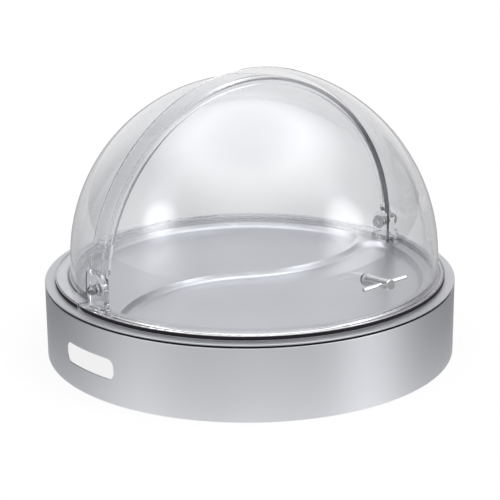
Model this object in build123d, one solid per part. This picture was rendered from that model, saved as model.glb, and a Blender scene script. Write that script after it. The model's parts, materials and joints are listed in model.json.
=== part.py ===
from build123d import *
import os
from math import hypot, radians, sqrt, tan

# Round roll-top display tray: a steel ring carries a two-part tray, and a clear dome in two halves
# covers it. The front half rolls up and back over the rear half.
# Millimetres, +Z up, front towards -Y, hinge axis along X, left hinge at -X.
# Origin: centre of the base ring, on the surface that it stands on.

# Base ring
RING_RADIUS = 230.0
RING_HEIGHT = 80.0
RING_WALL = 1.5
RING_ROUND = 0.8              # outer top edge
RING_LIP_RADIUS = 207.0       # inner edge of the lip that carries the tray
RING_FOOT_RADIUS = 218.0      # inner edge of the turned-in foot
SLOT_LENGTH = 81.0
SLOT_HEIGHT = 23.0
SLOT_CORNER = 9.0
SLOT_CENTRE_Z = 37.9
SLOT_TURN = 4.8               # degrees from the hinge axis, the left slot forward

# Tray
TRAY_TURN = -2.2              # degrees that the tray lies turned on the ring
TRAY_SHEET = 1.2
RIM_TOP = 84.0
RIM_ROUND = 0.8
HEM_RADIUS = 226.0            # inner edge of the doubled sheet round the rim
HEM_UNDER = 82.2              # underside of the doubled sheet
SEAL_RADIUS = 229.3           # black seal under the hem
SEAL_INNER_RADIUS = 226.4
RECESS_CORNER = 22.0
SHEET_OFFSET = 0.8            # sideways shift of the underside of a sloping wall
RIDGE_SHIFT = 4.0             # the S-shaped ridge passes this far behind the centre
RIDGE_ARC_RADIUS = 165.0
RIDGE_ARC_X = 72.0
# Steps down the recess wall: height, radius of the outer wall, half width of the ridge
RECESS_STEPS = [
    (84.5, 196.6, 1.2),
    (83.5, 194.2, 3.2),
    (79.2, 191.8, 5.6),
    (77.9, 190.0, 7.4),
    (77.5, 186.6, 10.8),
]

# Dome
AXIS_Z = 106.6                # hinge axis and centre of both spheres
FRONT_RADIUS = 210.9
REAR_RADIUS = 200.8
DOME_WALL = 4.0
EDGE_ROUND = 0.8              # both corners of each shell's edge
FRONT_EDGE_Y = 1.5            # rear edge of the front shell
REAR_EDGE_Y = -14.5           # front edge of the rear shell, inside the front one
LIP_WIDTH = 4.0               # stiffening lip inside that edge
LIP_DEPTH = 9.0
LIP_START = 14.0              # the lip ends this far above the hinge axis
FLANGE_RADIUS = 217.8
FLANGE_TOP = 89.5
FLANGE_ROUND = 5.0
FLANGE_EDGE_ROUND = 1.0
FRONT_LIFT = 0.3              # gap between the rolling flange and the tray rim
REAR_LIFT = 0.05              # gap between the fixed flange and the tray rim
REAR_FLANGE_Y = 15.0          # where the rear flange starts, behind the hinge lugs
STRIP_THICKNESS = 0.8         # black strip along the edge of both flanges
STRIP_LIFT = 0.2              # gap under the strip
STRIP_END_Y = 10.5            # where the front strip ends

# Hinges, as distances from the middle plane
REAR_LAND_X = 198.8           # outer face of the flat land on the rear shell
LUG_INNER_X = 199.9
LUG_OUTER_X = 203.3
LUG_HALF_WIDTH = 13.0
POCKET_HALF_WIDTH = 14.5      # at the lug's face
POCKET_SLOPE = 33.0           # degrees that the pocket's wall leans outwards
PAD_HALF_WIDTH = 23.0         # thick part of the front shell round the pocket
ROLL_RELIEF_RADIUS = 22.0     # underside of the flange ends, so that they clear the rim as they turn
STUD_RADIUS = 2.5
STUD_INNER_X = 188.2
STUD_OUTER_X = 208.5
RUNNING_GAP = 0.05
THREAD_GAP = 0.02
INNER_WASHER_RADIUS = 8.0
INNER_WASHER_THICKNESS = 1.2
NUT_ACROSS_FLATS = 9.0
NUT_HEIGHT = 4.4
SPACER_RADIUS = 7.0
SPACER_THICKNESS = 1.0
OUTER_WASHER_RADIUS = 5.5
OUTER_WASHER_X = 203.4
OUTER_WASHER_THICKNESS = 1.0
BALL_RADIUS = 5.3
BALL_COLLAR_RADIUS = 4.0
BALL_CENTRE_X = 208.2

# T handle, as distances from the sphere centre
HANDLE_RISE = 7.0             # degrees above the hinge level
HANDLE_TURN = -2.2            # degrees about Z, so that it sits a little left of the middle
POST_RADIUS = 5.5
POST_END = 249.6
POST_CHAMFER = 0.6
BAR_RADIUS = 2.4
BAR_LENGTH = 55.0
BAR_AT = 239.6
BAR_TURN = 3.4                # degrees, the right end higher
BAR_CHAMFER = 0.5
SEAT_WASHER_RADIUS = 6.5
SEAT_WASHER_THICKNESS = 1.2
HANDLE_WASHER_RADIUS = 6.0
HANDLE_WASHER_THICKNESS = 1.0
SCREW_RADIUS = 2.5
SCREW_HEAD_RADIUS = 4.5
SCREW_HEAD_HEIGHT = 1.8
SCREW_IN_POST = 14.0
SCREW_END_GAP = 1.0           # room beyond the end of the screw
SCREW_HOLE_GAP = 0.2

FAR = 400.0                   # larger than the object, for cutting blocks
OVERSHOOT = 1.0               # how far cuts and joins reach past a face
SIDES = {"left": -1, "right": 1}


def spin(edges):
    """Solid of revolution about Z from a closed outline in the XZ plane."""
    return revolve(make_face(edges), Axis.Z)


def block(x_range=(-FAR, FAR), y_range=(-FAR, FAR), z_range=(-FAR, FAR)):
    """Box between two limits on each axis."""
    low, high = zip(x_range, y_range, z_range)
    size = [b - a for a, b in zip(low, high)]
    centre = [(a + b) / 2 for a, b in zip(low, high)]
    return Pos(*centre) * Box(*size)


def axis_rod(side, x_near, x_far, radius):
    """Cylinder on the hinge axis, between two distances from the middle plane."""
    return Pos(side * (x_near + x_far) / 2, 0, AXIS_Z) * Rot(0, 90, 0) * Cylinder(radius, x_far - x_near)


def axis_ring(side, x_near, thickness, radius, hole):
    """Washer on the hinge axis."""
    x_far = x_near + thickness
    return axis_rod(side, x_near, x_far, radius) - axis_rod(side, x_near - OVERSHOOT, x_far + OVERSHOOT, hole)


def arch_face(x, half_width, z_low):
    """Face across X with a round top about the hinge axis and a square foot at z_low."""
    return make_face([
        Line((x, -half_width, z_low), (x, half_width, z_low)),
        Line((x, half_width, z_low), (x, half_width, AXIS_Z)),
        ThreePointArc((x, half_width, AXIS_Z), (x, 0, AXIS_Z + half_width), (x, -half_width, AXIS_Z)),
        Line((x, -half_width, AXIS_Z), (x, -half_width, z_low)),
    ])


def arch_prism(side, x_near, x_far, half_width, z_low):
    """Plate of that outline, between two distances from the middle plane."""
    return extrude(arch_face(side * x_near, half_width, z_low), amount=x_far - x_near, dir=(side, 0, 0))


def pocket(side):
    """Space outside a lug, wider towards the outside."""
    depth = FRONT_RADIUS - LUG_OUTER_X + OVERSHOOT
    wide = POCKET_HALF_WIDTH + depth * tan(radians(POCKET_SLOPE))
    return loft([
        arch_face(side * LUG_OUTER_X, POCKET_HALF_WIDTH, FLANGE_TOP),
        arch_face(side * (LUG_OUTER_X + depth), wide, FLANGE_TOP),
    ])


def dome(radius, bottom):
    """Solid hemisphere about the hinge axis level, on a straight skirt."""
    diagonal = radius / sqrt(2)
    return spin([
        Line((0, 0, bottom), (radius, 0, bottom)),
        Line((radius, 0, bottom), (radius, 0, AXIS_Z)),
        ThreePointArc((radius, 0, AXIS_Z), (diagonal, 0, AXIS_Z + diagonal), (0, 0, AXIS_Z + radius)),
        Line((0, 0, AXIS_Z + radius), (0, 0, bottom)),
    ])


def half_shell(radius, bottom, y_range):
    """Half of a dome's wall and skirt, with a rounded edge."""
    low, high = y_range
    edge_y = low if high == FAR else high
    ring = Circle(radius) - Circle(radius - DOME_WALL)
    half = ring & Pos(0, (low + high) / 2) * Rectangle(2 * FAR, high - low)
    corners = [v for v in half.vertices() if abs(v.Y - edge_y) < THREAD_GAP]
    half = fillet(corners, EDGE_ROUND)
    skirt = extrude(Pos(0, 0, bottom) * half, amount=AXIS_Z - bottom)
    quarter = half & Pos(FAR / 2, 0) * Rectangle(FAR, 2 * FAR)
    middle = Axis((0, 0, AXIS_Z), (0, -1, 0))
    return skirt + revolve(Pos(0, 0, AXIS_Z) * quarter, middle, revolution_arc=180)


def flange_disc(skirt_radius, bottom):
    """Solid disc with the flange's edge and the hollow round up to the skirt."""
    turn = FLANGE_ROUND * (1 - 1 / sqrt(2))
    round_top = FLANGE_TOP + FLANGE_ROUND
    edge_turn = FLANGE_EDGE_ROUND * (1 - 1 / sqrt(2))
    flat_radius = FLANGE_RADIUS - FLANGE_EDGE_ROUND
    return spin([
        Line((0, 0, bottom), (FLANGE_RADIUS, 0, bottom)),
        Line((FLANGE_RADIUS, 0, bottom), (FLANGE_RADIUS, 0, FLANGE_TOP - FLANGE_EDGE_ROUND)),
        ThreePointArc(
            (FLANGE_RADIUS, 0, FLANGE_TOP - FLANGE_EDGE_ROUND),
            (FLANGE_RADIUS - edge_turn, 0, FLANGE_TOP - edge_turn),
            (flat_radius, 0, FLANGE_TOP),
        ),
        Line((flat_radius, 0, FLANGE_TOP), (skirt_radius + FLANGE_ROUND, 0, FLANGE_TOP)),
        ThreePointArc(
            (skirt_radius + FLANGE_ROUND, 0, FLANGE_TOP),
            (skirt_radius + turn, 0, FLANGE_TOP + turn),
            (skirt_radius, 0, round_top),
        ),
        Line((skirt_radius, 0, round_top), (0, 0, round_top)),
        Line((0, 0, round_top), (0, 0, bottom)),
    ])


def make_base_ring():
    """Thin ring with a turned-in lip and foot, and two finger slots."""
    inner = RING_RADIUS - RING_WALL
    lip = RING_HEIGHT - RING_WALL
    turn = RING_ROUND * (1 - 1 / sqrt(2))
    ring = spin([
        ThreePointArc(
            (RING_RADIUS, 0, RING_HEIGHT - RING_ROUND),
            (RING_RADIUS - turn, 0, RING_HEIGHT - turn),
            (RING_RADIUS - RING_ROUND, 0, RING_HEIGHT),
        ),
        Polyline(
            (RING_RADIUS - RING_ROUND, 0, RING_HEIGHT), (RING_LIP_RADIUS, 0, RING_HEIGHT),
            (RING_LIP_RADIUS, 0, lip), (inner, 0, lip), (inner, 0, RING_WALL),
            (RING_FOOT_RADIUS, 0, RING_WALL), (RING_FOOT_RADIUS, 0, 0), (RING_RADIUS, 0, 0),
            (RING_RADIUS, 0, RING_HEIGHT - RING_ROUND),
        ),
    ])
    slot = extrude(Plane.YZ * RectangleRounded(SLOT_LENGTH, SLOT_HEIGHT, SLOT_CORNER), amount=FAR, both=True)
    return ring - Pos(0, 0, SLOT_CENTRE_Z) * Rot(0, 0, SLOT_TURN) * slot


def circle_meeting(centre, radius, rim_radius):
    """Where a circle about centre meets the rim circle, on the clockwise side of centre."""
    distance = hypot(*centre)
    along = (rim_radius**2 - radius**2 + distance**2) / (2 * distance)
    across = sqrt(rim_radius**2 - along**2)
    x, y = centre
    return ((along * x + across * y) / distance, (along * y - across * x) / distance)


def arc_middle(centre, radius, start, end):
    """Middle point of the shorter arc about centre from start to end."""
    x = (start[0] + end[0]) / 2 - centre[0]
    y = (start[1] + end[1]) / 2 - centre[1]
    stretch = radius / hypot(x, y)
    return (centre[0] + stretch * x, centre[1] + stretch * y)


def recess_section(rim_radius, ridge_half, ridge_y):
    """Comma-shaped plan of the front recess: the rim circle, and two arcs along the ridge."""
    arc_y = sqrt(RIDGE_ARC_RADIUS**2 - RIDGE_ARC_X**2)
    behind = (RIDGE_ARC_X, ridge_y + arc_y)
    before = (-RIDGE_ARC_X, ridge_y - arc_y)
    behind_radius = RIDGE_ARC_RADIUS + ridge_half
    before_radius = RIDGE_ARC_RADIUS - ridge_half
    share = before_radius / RIDGE_ARC_RADIUS
    middle = (before[0] + share * RIDGE_ARC_X, before[1] + share * arc_y)
    right = circle_meeting(behind, behind_radius, rim_radius)
    left = circle_meeting(before, before_radius, rim_radius)
    outline = [
        ThreePointArc(middle, arc_middle(behind, behind_radius, middle, right), right),
        ThreePointArc(right, (0, -rim_radius), left),
        ThreePointArc(left, arc_middle(before, before_radius, left, middle), middle),
    ]
    face = make_face(outline)
    corners = face.vertices().sort_by(lambda v: hypot(v.X, v.Y))[-2:]
    return fillet(corners, RECESS_CORNER)


def recess_pair(drop, spread):
    """Both recesses as solids, lowered by drop and widened by spread."""
    front = loft([
        Pos(0, 0, height - drop) * recess_section(radius + spread, ridge - spread, RIDGE_SHIFT)
        for height, radius, ridge in RECESS_STEPS
    ])
    rear = loft([
        Pos(0, 0, height - drop) * recess_section(radius + spread, ridge - spread, -RIDGE_SHIFT)
        for height, radius, ridge in RECESS_STEPS
    ])
    return front, Rot(0, 0, 180) * rear


def make_tray():
    """Pressed sheet: a flat rim with a hemmed edge, and two recesses."""
    under = RIM_TOP - TRAY_SHEET
    flat = RING_RADIUS - RIM_ROUND
    turn = RIM_ROUND * (1 - 1 / sqrt(2))
    tray = spin([
        Polyline((flat, 0, RIM_TOP), (0, 0, RIM_TOP), (0, 0, under), (HEM_RADIUS, 0, under)),
        Polyline((HEM_RADIUS, 0, under), (HEM_RADIUS, 0, HEM_UNDER), (flat, 0, HEM_UNDER)),
        ThreePointArc(
            (flat, 0, HEM_UNDER),
            (RING_RADIUS - turn, 0, HEM_UNDER + turn),
            (RING_RADIUS, 0, HEM_UNDER + RIM_ROUND),
        ),
        Line((RING_RADIUS, 0, HEM_UNDER + RIM_ROUND), (RING_RADIUS, 0, RIM_TOP - RIM_ROUND)),
        ThreePointArc(
            (RING_RADIUS, 0, RIM_TOP - RIM_ROUND),
            (RING_RADIUS - turn, 0, RIM_TOP - turn),
            (flat, 0, RIM_TOP),
        ),
    ])
    for pan in recess_pair(TRAY_SHEET, SHEET_OFFSET):
        tray = tray + pan
    for hollow in recess_pair(0, 0):
        tray = tray - hollow
    return Rot(0, 0, TRAY_TURN) * tray


def upright_ring(inner, outer, low, high):
    """Ring about Z between two radii and two heights."""
    thickness = high - low
    return Pos(0, 0, (low + high) / 2) * (Cylinder(outer, thickness) - Cylinder(inner, thickness))


def make_edge_strip(flange_bottom):
    """Full circle of the strip along a flange's edge."""
    inner = FLANGE_RADIUS + THREAD_GAP
    outer = FLANGE_RADIUS + STRIP_THICKNESS
    return upright_ring(inner, outer, flange_bottom + STRIP_LIFT, FLANGE_TOP - FLANGE_EDGE_ROUND)


def roll_relief():
    """Space about the hinge axis in which the ends of the front flange turn clear of the rim."""
    return Pos(0, 0, AXIS_Z) * Rot(0, 90, 0) * Cylinder(ROLL_RELIEF_RADIUS, 2 * FAR)


def make_rear_strip():
    """Strip along the rear flange."""
    return make_edge_strip(RIM_TOP + REAR_LIFT) & block(y_range=(REAR_FLANGE_Y, FAR))


def make_front_strip():
    """Strip along the front flange, cut away underneath at its ends as the flange is."""
    strip = make_edge_strip(RIM_TOP + FRONT_LIFT)
    ends = strip & block(y_range=(0, STRIP_END_Y)) & roll_relief()
    return (strip & block(y_range=(-FAR, 0))) + ends


def make_rear_lip():
    """Lip inside the rear shell's edge, which reaches a little into the wall."""
    inside = REAR_RADIUS - DOME_WALL
    width = LIP_WIDTH + OVERSHOOT
    outline = Pos(inside + OVERSHOOT - width / 2, REAR_EDGE_Y + LIP_DEPTH / 2) * Rectangle(width, LIP_DEPTH)
    outline = fillet(outline.vertices().sort_by(Axis.X)[:2], EDGE_ROUND)
    middle = Axis((0, 0, AXIS_Z), (0, -1, 0))
    lip = revolve(Pos(0, 0, AXIS_Z) * outline, middle, revolution_arc=180)
    return lip & block(z_range=(AXIS_Z + LIP_START, FAR))


def make_rear_shell():
    """Fixed half dome with flat lands at the hinges, a lip along its edge and a flange round its back."""
    inner_land = REAR_LAND_X - DOME_WALL
    bottom = RIM_TOP + REAR_LIFT
    core = dome(REAR_RADIUS - OVERSHOOT, bottom)
    shell = half_shell(REAR_RADIUS, bottom, (REAR_EDGE_Y, FAR))
    flange = (flange_disc(REAR_RADIUS, bottom) - core) & block(y_range=(REAR_FLANGE_Y, FAR))
    for side in SIDES.values():
        inside = block(x_range=sorted((side * inner_land, side * FAR)), y_range=(REAR_EDGE_Y, FAR))
        outside = sorted((side * REAR_LAND_X, side * FAR))
        shell = shell + (core & inside) - block(x_range=outside)
        flange = flange - block(x_range=outside, z_range=(FLANGE_TOP, FAR))
    shell = shell + flange + make_rear_lip()
    for side in SIDES.values():
        shell = shell - axis_rod(side, STUD_INNER_X, STUD_OUTER_X, STUD_RADIUS + THREAD_GAP)
    return shell


def make_front_shell():
    """Rolling half dome with a pocket and a lug at each hinge, and a flange round its front."""
    bottom = RIM_TOP + FRONT_LIFT
    core = dome(FRONT_RADIUS - OVERSHOOT, bottom)
    shell = half_shell(FRONT_RADIUS, bottom, (-FAR, FRONT_EDGE_Y))
    flange = flange_disc(FRONT_RADIUS, bottom) - core
    foot = flange
    for side in SIDES.values():
        pad = core & arch_prism(side, LUG_INNER_X, FAR, PAD_HALF_WIDTH, 0)
        foot = foot + pad
        shell = shell + (pad & block(y_range=(-FAR, FRONT_EDGE_Y)))
    ends = foot & block(y_range=(0, LUG_HALF_WIDTH), z_range=(0, FLANGE_TOP)) & roll_relief()
    shell = shell + (flange & block(y_range=(-FAR, 0))) + ends
    for side in SIDES.values():
        shell = shell - pocket(side)
        shell = shell + arch_prism(side, LUG_INNER_X, LUG_OUTER_X, LUG_HALF_WIDTH, FLANGE_TOP - OVERSHOOT)
        shell = shell - axis_rod(side, STUD_INNER_X, STUD_OUTER_X, STUD_RADIUS + RUNNING_GAP)
    return shell - handle_rod(0, FAR, SCREW_RADIUS + SCREW_HOLE_GAP)


def make_ball_cap(centre_height):
    """Ball on a short collar, with a blind hole for the stud, standing on Z = 0."""
    collar_height = centre_height - sqrt(BALL_RADIUS**2 - BALL_COLLAR_RADIUS**2)
    top = centre_height + BALL_RADIUS
    bore = STUD_RADIUS + THREAD_GAP
    bore_depth = STUD_OUTER_X - BALL_CENTRE_X + centre_height
    return spin([
        Line((bore, 0, 0), (BALL_COLLAR_RADIUS, 0, 0)),
        Line((BALL_COLLAR_RADIUS, 0, 0), (BALL_COLLAR_RADIUS, 0, collar_height)),
        ThreePointArc((BALL_COLLAR_RADIUS, 0, collar_height), (BALL_RADIUS, 0, centre_height), (0, 0, top)),
        Line((0, 0, top), (0, 0, bore_depth)),
        Line((0, 0, bore_depth), (bore, 0, bore_depth)),
        Line((bore, 0, bore_depth), (bore, 0, 0)),
    ])


def make_hinge(side):
    """Pieces of one hinge, from the ball cap outside to the nut inside."""
    inner_land = REAR_LAND_X - DOME_WALL
    bore = STUD_RADIUS + THREAD_GAP
    washer_x = inner_land - INNER_WASHER_THICKNESS
    nut_x = washer_x - NUT_HEIGHT
    ball_x = OUTER_WASHER_X + OUTER_WASHER_THICKNESS
    hexagon = Plane.YZ * RegularPolygon(NUT_ACROSS_FLATS / 2, 6, major_radius=False)
    nut = Pos(side * nut_x, 0, AXIS_Z) * extrude(hexagon, amount=side * NUT_HEIGHT)
    ball = Pos(side * ball_x, 0, AXIS_Z) * Rot(0, 90 * side, 0) * make_ball_cap(BALL_CENTRE_X - ball_x)
    return {
        "pivot_stud": axis_rod(side, STUD_INNER_X, STUD_OUTER_X, STUD_RADIUS),
        "ball_cap": ball,
        "outer_washer": axis_ring(side, OUTER_WASHER_X, OUTER_WASHER_THICKNESS, OUTER_WASHER_RADIUS, bore),
        "spacer_washer": axis_ring(side, REAR_LAND_X, SPACER_THICKNESS, SPACER_RADIUS, bore),
        "inner_washer": axis_ring(side, washer_x, INNER_WASHER_THICKNESS, INNER_WASHER_RADIUS, bore),
        "inner_nut": nut - axis_rod(side, STUD_INNER_X - OVERSHOOT, STUD_OUTER_X, bore),
    }


def handle_place():
    """Frame whose Z runs out of the front shell along the handle post."""
    return Pos(0, 0, AXIS_Z) * Rot(0, 0, HANDLE_TURN) * Rot(90 - HANDLE_RISE, 0, 0)


def handle_rod(near, far, radius):
    """Cylinder along the handle post, between two distances from the sphere centre."""
    return handle_place() * Pos(0, 0, (near + far) / 2) * Cylinder(radius, far - near)


def make_handle():
    """Pieces of the T handle, fixed by a screw from inside the front shell."""
    dome_inside = FRONT_RADIUS - DOME_WALL
    centre = Pos(0, 0, AXIS_Z)
    post_start = FRONT_RADIUS + SEAT_WASHER_THICKNESS
    head_top = dome_inside - HANDLE_WASHER_THICKNESS
    bore = SCREW_RADIUS + THREAD_GAP
    post = Pos(0, 0, (post_start + POST_END) / 2) * Cylinder(POST_RADIUS, POST_END - post_start)
    post = chamfer(post.edges().sort_by(Axis.Z)[-1], POST_CHAMFER)
    bar = Cylinder(BAR_RADIUS, BAR_LENGTH)
    bar = chamfer(bar.edges().filter_by(GeomType.CIRCLE), BAR_CHAMFER)
    bar_place = handle_place() * Pos(0, 0, BAR_AT) * Rot(0, 0, BAR_TURN) * Rot(0, 90, 0)
    post = handle_place() * post - bar_place * Cylinder(BAR_RADIUS + THREAD_GAP, BAR_LENGTH)
    post = post - handle_rod(0, post_start + SCREW_IN_POST, bore)
    seat = handle_rod(FRONT_RADIUS - OVERSHOOT, post_start, SEAT_WASHER_RADIUS)
    seat = seat - centre * Sphere(FRONT_RADIUS + THREAD_GAP) - handle_rod(0, FAR, bore)
    washer = handle_rod(head_top, FRONT_RADIUS, HANDLE_WASHER_RADIUS)
    washer = (washer & centre * Sphere(dome_inside - THREAD_GAP)) - handle_rod(0, FAR, bore)
    screw_end = post_start + SCREW_IN_POST - SCREW_END_GAP
    screw = handle_rod(head_top - SCREW_HEAD_HEIGHT, head_top, SCREW_HEAD_RADIUS)
    screw = screw + handle_rod(head_top - OVERSHOOT, screw_end, SCREW_RADIUS)
    return {
        "handle_post": post,
        "handle_bar": bar_place * bar,
        "handle_seat_washer": seat,
        "handle_inner_washer": washer,
        "handle_screw": screw,
    }


def make_parts():
    """Every piece by its node name."""
    parts = {
        "base_ring": make_base_ring(),
        "tray": make_tray(),
        "tray_seal": upright_ring(SEAL_INNER_RADIUS, SEAL_RADIUS, RING_HEIGHT, HEM_UNDER),
        "rear_shell": make_rear_shell(),
        "rear_edge_strip": make_rear_strip(),
        "front_shell": make_front_shell(),
        "front_edge_strip": make_front_strip(),
    }
    parts.update(make_handle())
    for name, side in SIDES.items():
        for piece, solid in make_hinge(side).items():
            parts[f"{name}_{piece}"] = solid
    return parts


os.makedirs("parts", exist_ok=True)
for node, solid in make_parts().items():
    export_step(solid, f"parts/{node}.step")
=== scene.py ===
import json
from math import cos, radians, sin

import bpy
from mathutils import Matrix, Vector

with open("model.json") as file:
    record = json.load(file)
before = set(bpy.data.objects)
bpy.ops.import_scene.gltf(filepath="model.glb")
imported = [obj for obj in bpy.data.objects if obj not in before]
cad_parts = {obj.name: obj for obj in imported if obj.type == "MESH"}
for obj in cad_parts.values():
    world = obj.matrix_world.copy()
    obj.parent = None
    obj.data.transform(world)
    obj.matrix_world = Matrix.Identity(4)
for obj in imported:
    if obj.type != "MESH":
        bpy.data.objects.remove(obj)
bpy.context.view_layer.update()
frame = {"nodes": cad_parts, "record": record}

NODES = frame["nodes"]
scene = bpy.context.scene

# Lengths are in metres. A pair is a low and a high value, or a dark and a light colour.

# Camera at the photograph's viewing angle
DOME_CENTRE = Vector((0, 0, 0.1066))  # on the hinge line, where the camera aims
AZIMUTH = radians(-37.0)
ELEVATION = radians(17.9)
ROLL = radians(-0.46)
DISTANCE = 1.8487
LENS_MM = 118.22
SENSOR_MM = 36
SHIFT = (0.0008, 0.0054)
CLIP = (0.05, 60)

# Noise scales, in cells per metre
RING_BRUSH = 900.0
RING_CLOUD = 9.0
STEEL_CLOUD = 14.0
STEEL_GRAIN = 260.0
MATTE_GRAIN = 300.0
PLASTIC_SMUDGE = 22.0

# Ring: satin steel, brushed in lines that run round it
RING_COLOURS = ((0.69, 0.70, 0.732), (0.74, 0.75, 0.782))
RING_ROUGHNESS = (0.42, 0.48)
RING_BRUSH_STRETCH = (0.02, 0.02, 1)
RING_BUMP = 0.06
RING_BUMP_DEPTH = 0.0002
RING_ANISOTROPY = 0.75
QUARTER_TURN = 0.25

# Tray: polished in the recesses, satin round the rim. The denoiser mottles a surface whose
# roughness goes from below 0.27 to above it, so no range here does that.
TRAY_COLOURS = ((0.582, 0.59, 0.615), (0.632, 0.64, 0.665))
TRAY_ROUGHNESS = (0.285, 0.345)
TRAY_RIM_ROUGHNESS = (0.44, 0.52)
TRAY_RIM = (0.196, 0.208)  # distances from the middle at which the satin starts and is full

# Hinges and handle
HARDWARE_COLOURS = ((0.62, 0.625, 0.635), (0.70, 0.705, 0.715))
HANDLE_COLOURS = ((0.74, 0.745, 0.755), (0.80, 0.805, 0.815))
# Painted shade: the ball caps are a darker copy of the hardware's polished steel, standing in for
# the dark surroundings they mirror
BALL_CAP_PAINTED_SHADE_COLOURS = ((0.27, 0.272, 0.28), (0.33, 0.332, 0.34))
POLISHED = (0.14, 0.22)
MIRROR = (0.03, 0.07)

# Clear shells
PLASTIC_COLOUR = (0.981, 0.985, 0.994, 1)
PLASTIC_IOR = 1.58
PLASTIC_ROUGHNESS = (0.0, 0.025)
PLASTIC_SHADOW = (0.98, 0.982, 0.986, 1)
PLASTIC_ABSORBS = (0.60, 0.58, 0.63, 1)
PLASTIC_DENSITY = 10.0
POLE_REACH = 0.0096

# Rubber and small plastic pieces
# Painted shade: black strips along the flange's edge stand in for the dark band of shade there. The
# colour of their side against the clear flange stands in for what shows through it: painted shade at
# the front, painted light at the rear.
STRIP_PAINTED_SHADE_BLACK = (0.015, 0.0125, 0.015)
FRONT_STRIP_PAINTED_SHADE = (0.335, 0.325, 0.345)
REAR_STRIP_PAINTED_LIGHT = (0.90, 0.90, 0.91)
# beyond the first distance a strip turns to its painted-shade black
FLANGE_EDGE = (0.2180, 0.2184)  # distances from the middle between which a strip turns black
RUBBER_ROUGHNESS = (0.5, 0.7)
RUBBER_SPECULAR = 0.15
SPACER_COLOURS = ((0.70, 0.71, 0.72), (0.78, 0.79, 0.80))
SEAL_COLOURS = ((0.55, 0.56, 0.57), (0.62, 0.63, 0.64))
MATTE_ROUGHNESS = (0.4, 0.6)

# Floor, which shows as white in different shares to the camera, through plastic and in metal.
# Through plastic and in metal the share changes with place, as painted light and shade.
FLOOR_HALF_WIDTH = 8.0
FLOOR_HEIGHT = -0.0005
FLOOR_ROUGHNESS = 0.9
FLOOR_COLOURS = ((0.22, 0.22, 0.223), (0.85, 0.85, 0.85))  # to other rays, to the camera
FLOOR_WHITE_DIRECT = 0.85
# painted shade and light seen through plastic: greyer near the object, whiter far behind it
FLOOR_PAINTED_WHITE_THROUGH = (0.81, 0.61)  # far behind the object, near it
FLOOR_BEHIND = (-1.2, -0.6)  # places of those two, along the camera's direction
# painted pool of light seen in metal, round a point in front of the object
FLOOR_PAINTED_POOL_WHITE = (1.0, 0.0)  # in the middle of a pool of light, at its edge
FLOOR_PAINTED_POOL_RADII = (0.03, 0.46)  # radii of those two
FLOOR_PAINTED_POOL_AHEAD = 0.2  # from the origin to the pool's middle, towards the camera

# Soft round lights of the studio: turn to the right of the camera's side and elevation, then the
# angles from there within which it is full and beyond which it is gone, all in degrees, and strength
LIGHTS = [
    (0, 83, 8, 54, 2.35),  # overhead
    (0, 90, 4, 28, -1.1),  # dims the overhead light's middle, which would clip the tray from above
    (-63, 25.5, 0, 13.5, 2.4),  # small, left
    (66, 23.5, 0, 15.5, 2.4),  # small, right
    (-71, 12, 5, 40, 0.84),  # wide, low on the left
    (67, 4, 4, 28, 1.7),  # low on the right
    (84, 44, 10, 45, 0.6),  # wide, high on the right
    (180, 12, 15, 50, 0.68),  # behind the object
    (0, 10, 10, 60, 0.38),  # wide, from the camera's side
]
LIGHT_ALL_ROUND = 0.18
BACKDROP_WHITE = 1.0

# Light goes to and fro in the shells' walls many times
BOUNCES = 128
WALL_BOUNCES = 96


def direction(angle, height):
    """Unit vector at an angle round the upright axis and an elevation, in radians."""
    return Vector((sin(angle) * cos(height), -cos(angle) * cos(height), sin(height)))


def towards(turn, rise):
    """Unit vector turned to the right of the camera's side, at an elevation, in degrees."""
    return direction(AZIMUTH + radians(turn), radians(rise))


def make_camera():
    back = direction(AZIMUTH, ELEVATION)
    right = Vector((cos(AZIMUTH), sin(AZIMUTH), 0))
    up = back.cross(right)
    side = cos(ROLL) * right + sin(ROLL) * up
    top = cos(ROLL) * up - sin(ROLL) * right
    data = bpy.data.cameras.new("camera")
    data.lens = LENS_MM
    data.sensor_width = SENSOR_MM
    data.shift_x, data.shift_y = SHIFT
    data.clip_start, data.clip_end = CLIP
    camera = bpy.data.objects.new("camera", data)
    turn = Matrix((side, top, back)).transposed().to_4x4()
    camera.matrix_world = Matrix.Translation(DOME_CENTRE + DISTANCE * back) @ turn
    scene.collection.objects.link(camera)
    scene.camera = camera


def new_material(name):
    material = bpy.data.materials.new(name)
    material.use_nodes = True
    tree = material.node_tree
    shader = tree.nodes["Principled BSDF"]
    return material, tree, shader


def node(tree, kind, **values):
    made = tree.nodes.new(kind)
    for key, value in values.items():
        setattr(made, key, value)
    return made


def plug(tree, value, socket):
    """Links an output to a socket, or sets a constant on it."""
    if isinstance(value, bpy.types.NodeSocket):
        tree.links.new(value, socket)
    else:
        socket.default_value = value


def combine(tree, operation, first, second):
    """One operation on two numbers."""
    made = node(tree, "ShaderNodeMath", operation=operation)
    plug(tree, first, made.inputs[0])
    plug(tree, second, made.inputs[1])
    return made.outputs["Value"]


def combine_vectors(tree, operation, first, second):
    """One operation on two vectors that gives a vector."""
    made = node(tree, "ShaderNodeVectorMath", operation=operation)
    plug(tree, first, made.inputs[0])
    plug(tree, second, made.inputs[1])
    return made.outputs["Vector"]


def measure_vectors(tree, operation, first, second=(0, 0, 0)):
    """One operation on one or two vectors that gives a number."""
    made = node(tree, "ShaderNodeVectorMath", operation=operation)
    plug(tree, first, made.inputs[0])
    plug(tree, second, made.inputs[1])
    return made.outputs["Value"]


def map_range(tree, value, given, wanted, interpolation="LINEAR"):
    """Maps a value from one pair of limits to another, and stops at them."""
    made = node(tree, "ShaderNodeMapRange", interpolation_type=interpolation)
    made.inputs["From Min"].default_value, made.inputs["From Max"].default_value = given
    made.inputs["To Min"].default_value, made.inputs["To Max"].default_value = wanted
    tree.links.new(value, made.inputs["Value"])
    return made.outputs["Result"]


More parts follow.
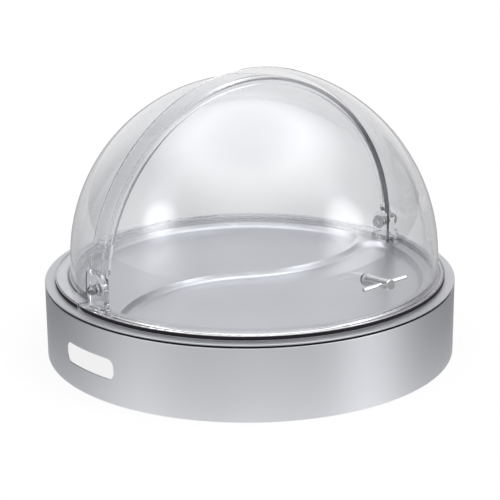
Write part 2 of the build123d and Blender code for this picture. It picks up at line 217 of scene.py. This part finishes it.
def object_place(tree):
    return node(tree, "ShaderNodeTexCoord").outputs["Object"]


def noise(tree, scale, detail=3.0, stretch=(1, 1, 1)):
    """Noise over the object's own space, stretched along chosen axes."""
    mapping = node(tree, "ShaderNodeMapping")
    mapping.inputs["Scale"].default_value = stretch
    texture = node(tree, "ShaderNodeTexNoise")
    texture.inputs["Scale"].default_value = scale
    texture.inputs["Detail"].default_value = detail
    tree.links.new(object_place(tree), mapping.inputs["Vector"])
    tree.links.new(mapping.outputs["Vector"], texture.inputs["Vector"])
    return texture.outputs["Fac"]


def spread(tree, value, limits):
    """Maps a 0 to 1 value to a range."""
    return map_range(tree, value, (0, 1), limits)


def tint(tree, value, colours):
    """Maps a 0 to 1 value to a colour between two colours."""
    ramp = node(tree, "ShaderNodeValToRGB")
    for element, colour in zip(ramp.color_ramp.elements, colours):
        element.color = (*colour, 1)
    tree.links.new(value, ramp.inputs["Fac"])
    return ramp.outputs["Color"]


def reach_out(tree, limits):
    """0 within the first distance from the upright middle axis, 1 beyond the second."""
    flat = combine_vectors(tree, "MULTIPLY", object_place(tree), (1, 1, 0))
    return map_range(tree, measure_vectors(tree, "LENGTH", flat), limits, (0, 1))


def bump(tree, value, strength, depth):
    made = node(tree, "ShaderNodeBump")
    made.inputs["Strength"].default_value = strength
    made.inputs["Distance"].default_value = depth
    tree.links.new(value, made.inputs["Height"])
    return made.outputs["Normal"]


def satin_steel():
    material, tree, shader = new_material("satin_steel")
    brush = noise(tree, RING_BRUSH, detail=2.0, stretch=RING_BRUSH_STRETCH)
    cloud = noise(tree, RING_CLOUD, detail=2.0)
    tree.links.new(tint(tree, cloud, RING_COLOURS), shader.inputs["Base Color"])
    tree.links.new(spread(tree, brush, RING_ROUGHNESS), shader.inputs["Roughness"])
    tree.links.new(bump(tree, brush, RING_BUMP, RING_BUMP_DEPTH), shader.inputs["Normal"])
    shader.inputs["Metallic"].default_value = 1.0
    shader.inputs["Anisotropic"].default_value = RING_ANISOTROPY
    shader.inputs["Anisotropic Rotation"].default_value = QUARTER_TURN
    tangent = node(tree, "ShaderNodeTangent", direction_type="RADIAL", axis="Z")
    tree.links.new(tangent.outputs["Tangent"], shader.inputs["Tangent"])
    return material


def polished_steel(name, colours, roughness):
    material, tree, shader = new_material(name)
    cloud = noise(tree, STEEL_CLOUD)
    grain = noise(tree, STEEL_GRAIN)
    tree.links.new(tint(tree, cloud, colours), shader.inputs["Base Color"])
    tree.links.new(spread(tree, grain, roughness), shader.inputs["Roughness"])
    shader.inputs["Metallic"].default_value = 1.0
    return material


def tray_steel():
    """Polished in the recesses, satin round the rim."""
    material, tree, shader = new_material("tray_steel")
    cloud = noise(tree, STEEL_CLOUD)
    grain = noise(tree, STEEL_GRAIN)
    satin = node(tree, "ShaderNodeMix", data_type="FLOAT")
    tree.links.new(reach_out(tree, TRAY_RIM), satin.inputs["Factor"])
    tree.links.new(spread(tree, grain, TRAY_ROUGHNESS), satin.inputs["A"])
    tree.links.new(spread(tree, grain, TRAY_RIM_ROUGHNESS), satin.inputs["B"])
    tree.links.new(tint(tree, cloud, TRAY_COLOURS), shader.inputs["Base Color"])
    tree.links.new(satin.outputs["Result"], shader.inputs["Roughness"])
    shader.inputs["Metallic"].default_value = 1.0
    return material


def shell_normal(tree):
    """The smooth normal, but the facets' own one round the front and rear points where all meet."""
    above = combine_vectors(tree, "SUBTRACT", object_place(tree), DOME_CENTRE)
    upright = combine_vectors(tree, "MULTIPLY", above, (1, 0, 1))
    near = combine(tree, "LESS_THAN", measure_vectors(tree, "LENGTH", upright), POLE_REACH)
    shape = node(tree, "ShaderNodeNewGeometry")
    pick = node(tree, "ShaderNodeMix", data_type="VECTOR")
    smooth_input, facet_input = pick.inputs[4], pick.inputs[5]  # the vector sockets A and B
    tree.links.new(near, pick.inputs["Factor"])
    tree.links.new(shape.outputs["Normal"], smooth_input)
    tree.links.new(shape.outputs["True Normal"], facet_input)
    return pick.outputs[1]  # the vector result


def clear_plastic():
    """Clear all through, with a slight absorption, and no more than a pale shadow."""
    material, tree, shader = new_material("clear_plastic")
    shader.inputs["Base Color"].default_value = PLASTIC_COLOUR
    shader.inputs["Transmission Weight"].default_value = 1.0
    shader.inputs["IOR"].default_value = PLASTIC_IOR
    smudge = noise(tree, PLASTIC_SMUDGE, detail=4.0)
    tree.links.new(spread(tree, smudge, PLASTIC_ROUGHNESS), shader.inputs["Roughness"])
    tree.links.new(shell_normal(tree), shader.inputs["Normal"])
    path = node(tree, "ShaderNodeLightPath")
    clear = node(tree, "ShaderNodeBsdfTransparent")
    clear.inputs["Color"].default_value = PLASTIC_SHADOW
    mix = node(tree, "ShaderNodeMixShader")
    out = tree.nodes["Material Output"]
    tree.links.new(path.outputs["Is Shadow Ray"], mix.inputs["Fac"])
    tree.links.new(shader.outputs["BSDF"], mix.inputs[1])
    tree.links.new(clear.outputs["BSDF"], mix.inputs[2])
    tree.links.new(mix.outputs["Shader"], out.inputs["Surface"])
    body = node(tree, "ShaderNodeVolumeAbsorption")
    body.inputs["Color"].default_value = PLASTIC_ABSORBS
    body.inputs["Density"].default_value = PLASTIC_DENSITY
    tree.links.new(body.outputs["Volume"], out.inputs["Volume"])
    return material


def painted_edge_strip(name, painted_inside):
    """Black on its outside as painted shade for the dark band along the flange's edge. Where it lies
    against the clear flange, it has a painted colour that stands in for the light or shade seen
    through it.
    """
    material, tree, shader = new_material(name)
    grain = noise(tree, MATTE_GRAIN)
    colour = tint(tree, reach_out(tree, FLANGE_EDGE), (painted_inside, STRIP_PAINTED_SHADE_BLACK))
    tree.links.new(colour, shader.inputs["Base Color"])
    tree.links.new(spread(tree, grain, RUBBER_ROUGHNESS), shader.inputs["Roughness"])
    shader.inputs["Specular IOR Level"].default_value = RUBBER_SPECULAR
    return material


def matte_plastic(name, colours):
    material, tree, shader = new_material(name)
    grain = noise(tree, MATTE_GRAIN)
    tree.links.new(tint(tree, grain, colours), shader.inputs["Base Color"])
    tree.links.new(spread(tree, grain, MATTE_ROUGHNESS), shader.inputs["Roughness"])
    return material


def paint(materials, special):
    """Gives each node the material of its slot, or one of its own."""
    for part in frame["record"]["subparts"]:
        mesh = NODES[part["node"]].data
        mesh.materials.clear()
        mesh.materials.append(special.get(part["node"]) or materials[part["material_slot"]])


def floor_material():
    """Takes the object's shadow, and adds a share of plain white that depends on the kind of ray,
    with painted shade near the object through plastic and a painted pool of light in metal.
    """
    material, tree, shader = new_material("floor_white")
    path = node(tree, "ShaderNodeLightPath")
    place = object_place(tree)
    shader.inputs["Roughness"].default_value = FLOOR_ROUGHNESS
    colour = tint(tree, path.outputs["Is Camera Ray"], FLOOR_COLOURS)
    tree.links.new(colour, shader.inputs["Base Color"])
    direct = combine(tree, "MULTIPLY", path.outputs["Is Camera Ray"], FLOOR_WHITE_DIRECT)
    # painted shade and light seen through plastic: the white share grows with distance behind the
    # object
    ahead = measure_vectors(tree, "DOT_PRODUCT", place, towards(0, 0))
    painted_depth_white = map_range(tree, ahead, FLOOR_BEHIND, FLOOR_PAINTED_WHITE_THROUGH)
    through = combine(tree, "MULTIPLY", path.outputs["Is Transmission Ray"], painted_depth_white)
    # painted pool of light seen in metal: the white share is full near a point in front of the
    # object and gone at its edge
    reach = measure_vectors(tree, "DISTANCE", place, FLOOR_PAINTED_POOL_AHEAD * towards(0, 0))
    painted_pool = map_range(tree, reach, FLOOR_PAINTED_POOL_RADII, FLOOR_PAINTED_POOL_WHITE)
    mirrored_painted_pool = combine(tree, "MULTIPLY", path.outputs["Is Glossy Ray"], painted_pool)
    seen = combine(tree, "MAXIMUM", direct, through)
    share = combine(tree, "MAXIMUM", seen, mirrored_painted_pool)
    glow = node(tree, "ShaderNodeEmission")
    mix = node(tree, "ShaderNodeMixShader")
    tree.links.new(share, mix.inputs["Fac"])
    tree.links.new(shader.outputs["BSDF"], mix.inputs[1])
    tree.links.new(glow.outputs["Emission"], mix.inputs[2])
    tree.links.new(mix.outputs["Shader"], tree.nodes["Material Output"].inputs["Surface"])
    return material


def make_floor():
    half = FLOOR_HALF_WIDTH
    corners = [(-half, -half, 0), (half, -half, 0), (half, half, 0), (-half, half, 0)]
    mesh = bpy.data.meshes.new("floor")
    mesh.from_pydata(corners, [], [(0, 1, 2, 3)])
    mesh.materials.append(floor_material())
    floor = bpy.data.objects.new("floor", mesh)
    floor.location.z = FLOOR_HEIGHT
    scene.collection.objects.link(floor)


def light_blob(tree, turn, rise, inner, outer, strength):
    """Soft round light in the surroundings: full within inner degrees, gone at outer degrees."""
    place = node(tree, "ShaderNodeTexCoord")
    unit = node(tree, "ShaderNodeVectorMath", operation="NORMALIZE")
    tree.links.new(place.outputs["Generated"], unit.inputs[0])
    nearness = measure_vectors(tree, "DOT_PRODUCT", unit.outputs["Vector"], towards(turn, rise))
    limits = (cos(radians(outer)), cos(radians(inner)))
    return map_range(tree, nearness, limits, (0, strength), "SMOOTHSTEP")


def make_world():
    world = bpy.data.worlds.new("studio")
    scene.world = world
    world.use_nodes = True
    tree = world.node_tree
    background = tree.nodes["Background"]
    blobs = [light_blob(tree, *light) for light in LIGHTS]
    total = blobs[0]
    for blob in blobs[1:]:
        total = combine(tree, "ADD", total, blob)
    total = combine(tree, "ADD", total, LIGHT_ALL_ROUND)
    path = node(tree, "ShaderNodeLightPath")
    pick = node(tree, "ShaderNodeMix", data_type="FLOAT")
    tree.links.new(path.outputs["Is Camera Ray"], pick.inputs["Factor"])
    tree.links.new(total, pick.inputs["A"])
    pick.inputs["B"].default_value = BACKDROP_WHITE
    tree.links.new(pick.outputs["Result"], background.inputs["Strength"])
    background.inputs["Color"].default_value = (1, 1, 1, 1)


make_camera()
make_world()
make_floor()
# painted shade: darker copy of polished steel for the ball caps
ball_cap_painted_shade = polished_steel("ball_cap_painted_shade_chrome", BALL_CAP_PAINTED_SHADE_COLOURS, MIRROR)
paint({
    "ring_steel": satin_steel(),
    "tray_steel": tray_steel(),
    "clear_plastic": clear_plastic(),
    "hardware_steel": polished_steel("hardware_steel", HARDWARE_COLOURS, POLISHED),
    "handle_steel": polished_steel("handle_steel", HANDLE_COLOURS, POLISHED),
    "spacer_plastic": matte_plastic("spacer_plastic", SPACER_COLOURS),
    # painted shade: black strip along the front flange's edge, greyer on its flange side
    "black_rubber": painted_edge_strip("front_edge_painted_shade", FRONT_STRIP_PAINTED_SHADE),
    "seal_rubber": matte_plastic("seal_rubber", SEAL_COLOURS),
}, {
    # painted shade outside, painted light on its side against the rear flange
    "rear_edge_strip": painted_edge_strip("rear_edge_painted_shade_and_light", REAR_STRIP_PAINTED_LIGHT),
    "left_ball_cap": ball_cap_painted_shade,
    "right_ball_cap": ball_cap_painted_shade,
})
scene.view_settings.view_transform = "Standard"
scene.cycles.max_bounces = BOUNCES
scene.cycles.transmission_bounces = WALL_BOUNCES
scene.cycles.glossy_bounces = WALL_BOUNCES
